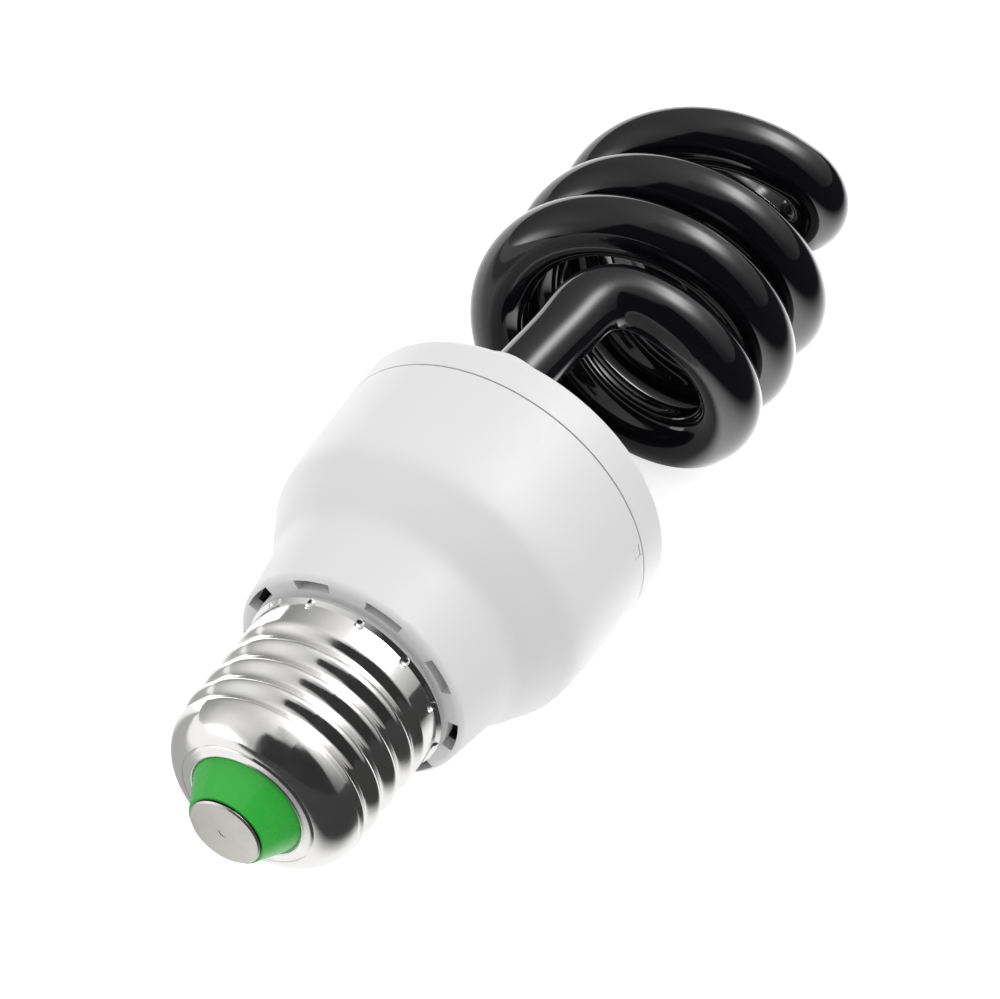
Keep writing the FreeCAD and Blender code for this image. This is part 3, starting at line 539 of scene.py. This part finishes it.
def make_camera():
    data = bpy.data.cameras.new("camera")
    data.sensor_width = 36.0
    data.lens = CAMERA_LENS
    data.clip_start = 0.01
    camera = bpy.data.objects.new("camera", data)
    bpy.context.scene.collection.objects.link(camera)
    camera.location = CAMERA_PLACE
    camera.rotation_euler = (CAMERA_TARGET - CAMERA_PLACE).to_track_quat("-Z", "Y").to_euler()
    bpy.context.scene.camera = camera


def soft_light(nodes, heading, light):
    """Round light with a soft edge, as a lobe about its direction."""
    azimuth, elevation, radiance, spread = light
    facing = nodes.vector("DOT_PRODUCT", heading, direction(azimuth, elevation), 1)
    narrow = 1 / math.radians(spread) ** 2
    fall = nodes.math("EXPONENT", nodes.math("MULTIPLY", nodes.math("SUBTRACT", facing, 1.0), narrow))
    return nodes.math("MULTIPLY", fall, radiance)


def make_studio():
    """White tent with soft lights, dark on the side that the photographer stands on."""
    world = bpy.data.worlds.new("studio")
    bpy.context.scene.world = world
    world.use_nodes = True
    nodes = Nodes(world.node_tree)
    heading = nodes.add("ShaderNodeTexCoord").outputs["Generated"]
    flat = nodes.vector("NORMALIZE", nodes.vector("MULTIPLY", heading, (1, 1, 0)), (0, 0, 0))
    towards = nodes.vector("DOT_PRODUCT", flat, direction(DARK_AZIMUTH, 0), 1)
    edge = math.cos(math.radians(DARK_HALF_WIDTH + DARK_SOFTNESS))
    core = math.cos(math.radians(DARK_HALF_WIDTH - DARK_SOFTNESS))
    sideways = nodes.between(towards, edge, core)
    height = nodes.vector("DOT_PRODUCT", heading, (0, 0, 1), 1)
    dark = nodes.math("MULTIPLY", sideways, nodes.between(height, *DARK_TOP, 1.0, 0.0))
    tent = nodes.between(height, 0.0, TENT_TOP, TENT_LOW, TENT_HIGH)
    lights = 0.0
    for light in SOFT_LIGHTS:
        lights = nodes.math("ADD", lights, soft_light(nodes, heading, light))
    aside = nodes.vector("DOT_PRODUCT", flat, direction(FADE_AZIMUTH, 0), 1)
    ends = [math.cos(math.radians(width)) for width in FADE_HALF_WIDTHS]
    faded = nodes.math("MULTIPLY", tent, nodes.between(aside, *ends, 1.0, 1 - FADE_SHARE))
    mirrored = nodes.between(dark, 0.0, 1.0, nodes.math("ADD", faded, lights), DARK_RADIANCE)
    filled = nodes.math("ADD", nodes.math("MULTIPLY", lights, FILL_SHARE), FILL_RADIANCE)
    backward = nodes.vector("DOT_PRODUCT", flat, (-1, 0, 0), 1)
    filled_dark = nodes.between(backward, *FILL_DARK_ENDS, *FILL_DARK)
    filled = nodes.between(dark, 0.0, 1.0, filled, filled_dark)
    path = nodes.add("ShaderNodeLightPath")
    gloss = path.outputs["Is Glossy Ray"]
    more = nodes.math("MULTIPLY", gloss, nodes.math("SUBTRACT", mirrored, filled))
    strength = nodes.math("ADD", more, filled)
    lit = nodes.add("ShaderNodeBackground", Color=(1, 1, 1, 1), Strength=strength)
    seen = nodes.add("ShaderNodeBackground", Color=(1, 1, 1, 1), Strength=1.0)
    mix = nodes.add("ShaderNodeMixShader")
    nodes.put(mix, "0", path.outputs["Is Camera Ray"])
    nodes.put(mix, "1", lit.outputs[0])
    nodes.put(mix, "2", seen.outputs[0])
    output = nodes.add("ShaderNodeOutputWorld")
    nodes.put(output, "Surface", mix.outputs[0])


def dress(node, material):
    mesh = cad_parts[node].data
    mesh.materials.clear()
    mesh.materials.append(material)


def main():
    bpy.context.scene.view_settings.view_transform = "Standard"
    make_camera()
    make_studio()
    make_floor()
    glass = black_glass()
    make_tube(glass)
    nickel = nickel_plate()
    make_lip(nickel)
    looks = {
        "centre_contact": contact_metal(),
        "cap_insulator": green_insulator(),
        "screw_shell": nickel,
    }
    plastic = opal_plastic()
    looks["ballast_housing"] = plastic
    looks["tube_cover"] = plastic
    ferrite = plain_part("ferrite", (0.05, 0.05, 0.055), 0.6)
    copper = plain_part("enamelled_copper", (0.45, 0.16, 0.06), 0.3, 0.9)
    tin = plain_part("tinned_steel", (0.6, 0.6, 0.6), 0.3, 1.0)
    black = plain_part("epoxy_black", (0.02, 0.02, 0.02), 0.45)
    resistor = plain_part("resistor_body", (0.50, 0.40, 0.24), 0.5)
    film = plain_part("film_resin", (0.42, 0.08, 0.04), 0.3)
    lead = plain_part("lead_sleeve", (0.60, 0.58, 0.52), 0.55)
    looks["tube_cement"] = plain_part("silicone_cement", (0.78, 0.78, 0.76), 0.6)
    looks["circuit_board"] = plain_part("board_laminate", (0.45, 0.28, 0.12), 0.5)
    looks["choke_core"] = ferrite
    looks["choke_bobbin"] = plain_part("bobbin_plastic", (0.05, 0.05, 0.05), 0.5)
    looks["choke_winding"] = copper
    looks["smoothing_capacitor"] = plain_part("capacitor_sleeve", (0.03, 0.04, 0.09), 0.3)
    looks["drive_ring_core"] = ferrite
    looks["drive_ring_winding"] = copper
    looks["input_inductor"] = ferrite
    looks["fuse_resistor"] = plain_part("fuse_body", (0.10, 0.20, 0.12), 0.7)
    looks["trigger_diode"] = plain_part("diode_glass", (0.40, 0.08, 0.03), 0.15)
    for index in (1, 2):
        looks["switch_transistor_%d" % index] = black
        looks["base_resistor_%d" % index] = resistor
        looks["start_resistor_%d" % index] = resistor
    for index in (1, 2, 3, 4):
        looks["rectifier_diode_%d" % index] = black
        looks["wrap_pin_%d" % index] = tin
        looks["filament_lead_%d" % index] = tin
    looks["resonant_capacitor"] = film
    looks["coupling_capacitor"] = film
    looks["live_lead"] = lead
    looks["neutral_lead"] = lead
    for node, material in looks.items():
        dress(node, material)


main()
